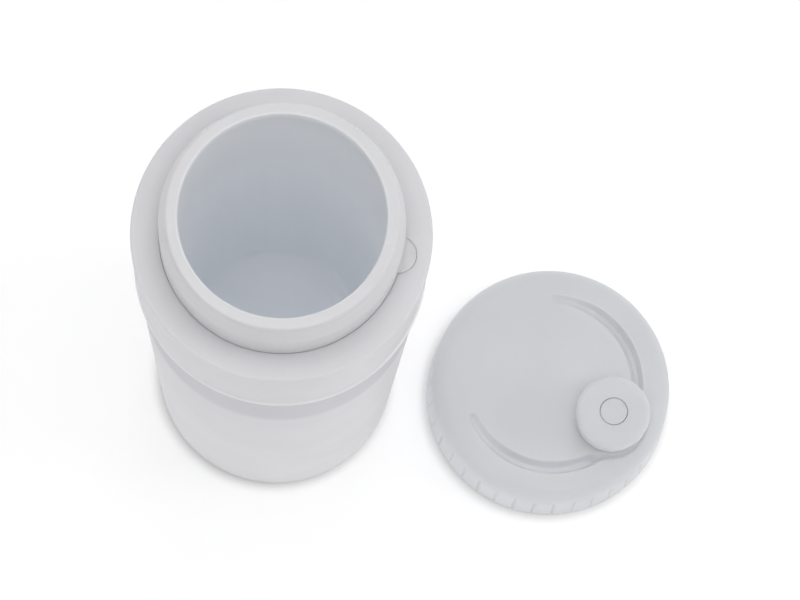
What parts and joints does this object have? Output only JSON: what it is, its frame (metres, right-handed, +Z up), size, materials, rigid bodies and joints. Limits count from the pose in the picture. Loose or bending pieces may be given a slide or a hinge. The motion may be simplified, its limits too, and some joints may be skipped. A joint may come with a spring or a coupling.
{
  "type": "pill crusher",
  "caption": "Hand-crank pill crusher: a tall tapered jar with a lift-out cup, and a grinding lid with a finger knob beside it.",
  "frame": {"origin": "centre of the underside of the jar's foot pad, on the surface it stands on", "axes": "+Z up along the jar's axis, +X from the jar towards the cup's key tab and the lid beside it"},
  "size_m": [0.129, 0.0676, 0.1557],
  "materials": {
    "shell_plastic": "satin",
    "cup_plastic": "satin",
    "lid_plastic": "satin",
    "burr_plastic": "fine matt",
    "pad_rubber": "matt",
    "seal_rubber": "matt",
    "steel": "brushed"
  },
  "bodies": {
    "casing": {"outer_casing": "shell_plastic", "collar_ring": "shell_plastic", "base_plate": "shell_plastic", "foot_pad": "pad_rubber", "cup_post": "shell_plastic", "cup_cushion": "seal_rubber", "base_screw_1": "steel", "base_screw_2": "steel", "base_screw_3": "steel"},
    "cup": {"crushing_cup": "cup_plastic"},
    "lid_ring": {"grip_ring": "lid_plastic", "lid_seal": "seal_rubber", "fixed_burr": "burr_plastic", "burr_screw_1": "steel", "burr_screw_2": "steel", "burr_screw_3": "steel", "thrust_washer": "steel"},
    "drive_spindle": {"spindle": "steel", "spindle_clip": "steel"},
    "crank": {"crank_cover": "lid_plastic", "rotor_burr": "burr_plastic", "rotor_screw_1": "steel", "rotor_screw_2": "steel", "rotor_screw_3": "steel", "knob_pin": "lid_plastic"},
    "knob": {"crank_knob": "lid_plastic", "knob_washer": "seal_rubber"}
  },
  "joints": [
    {"name": "cup_lift", "type": "slide", "parent": "casing", "child": "cup", "axis": [0, 0, 1], "range_m": [0, 0.125]},
    {"name": "lid_lift", "type": "slide", "parent": "casing", "child": "lid_ring", "axis": [0, 0, 1], "range_m": [0, 0.17]},
    {"name": "crank_turn", "type": "hinge", "parent": "lid_ring", "child": "drive_spindle", "pos_m": [0.0672, 0.0058, 0.007], "axis": [0, 0, 1], "continuous": true},
    {"name": "cover_lift", "type": "slide", "parent": "drive_spindle", "child": "crank", "axis": [0, 0, 1], "range_m": [0, 0.04]},
    {"name": "knob_spin", "type": "hinge", "parent": "crank", "child": "knob", "pos_m": [0.08263, -0.00031, 0.021], "axis": [0, 0, 1], "continuous": true}
  ]
}
